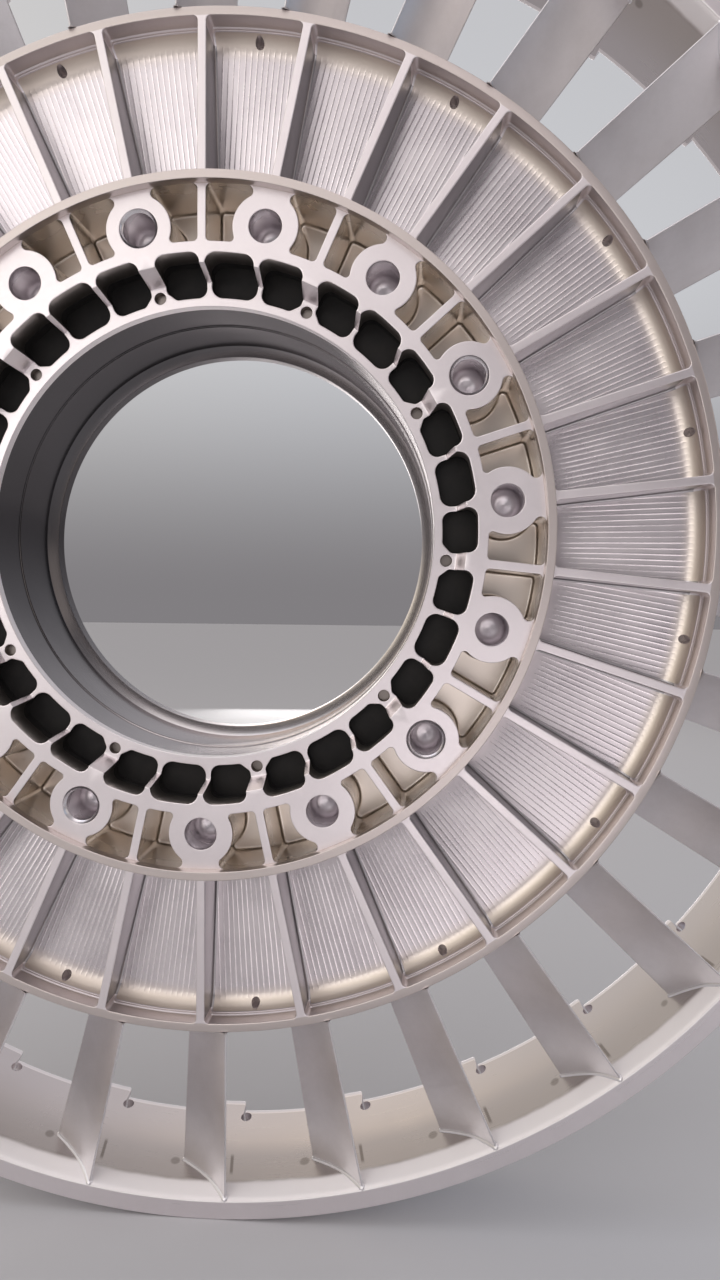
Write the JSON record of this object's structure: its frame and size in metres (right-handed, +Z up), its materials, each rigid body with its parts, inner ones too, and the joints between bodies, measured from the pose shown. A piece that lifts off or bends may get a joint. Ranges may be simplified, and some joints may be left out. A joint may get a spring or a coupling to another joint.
{
  "type": "shrouded axial vane wheel",
  "caption": "Large machined aluminium wheel: open bore, slotted and bossed hub, ribbed disc, radial vanes and an outer ring with a toothed rear edge.",
  "frame": {"origin": "on the wheel's axis, in the plane of the flat rear face of the boss ring, which is also the middle of the wheel's length", "axes": "+Y along the wheel's axis towards its rear, +Z up, +X to the right when seen from the front"},
  "size_m": [0.8, 0.117, 0.8],
  "materials": {
    "machined_face": "satin, fine turned",
    "milled_disc": "satin, milled lines",
    "hub_metal": "satin, milled",
    "turned_bore": "fine turned",
    "hub_inside": "dull, unfinished",
    "vane_metal": "satin, hand dressed"
  },
  "bodies": {
    "root": {"outer_ring": "machined_face", "outer_rim": "machined_face", "disc_floor": "milled_disc", "middle_rim": "machined_face", "boss_ring": "hub_metal", "slotted_ring": "hub_metal", "bore_sleeve": "turned_bore", "hub_drum": "hub_inside", "rear_cover": "hub_inside", "spoke_01": "vane_metal", "spoke_02": "vane_metal", "spoke_03": "vane_metal", "spoke_04": "vane_metal", "spoke_05": "vane_metal", "spoke_06": "vane_metal", "spoke_07": "vane_metal", "spoke_08": "vane_metal", "spoke_09": "vane_metal", "spoke_10": "vane_metal", "spoke_11": "vane_metal", "spoke_12": "vane_metal", "spoke_13": "vane_metal", "spoke_14": "vane_metal", "spoke_15": "vane_metal", "spoke_16": "vane_metal", "spoke_17": "vane_metal", "spoke_18": "vane_metal", "spoke_19": "vane_metal", "spoke_20": "vane_metal", "spoke_21": "vane_metal", "spoke_22": "vane_metal", "spoke_23": "vane_metal", "spoke_24": "vane_metal", "spoke_25": "vane_metal", "spoke_26": "vane_metal", "spoke_27": "vane_metal", "spoke_28": "vane_metal", "spoke_29": "vane_metal", "spoke_30": "vane_metal"}
  },
  "joints": []
}
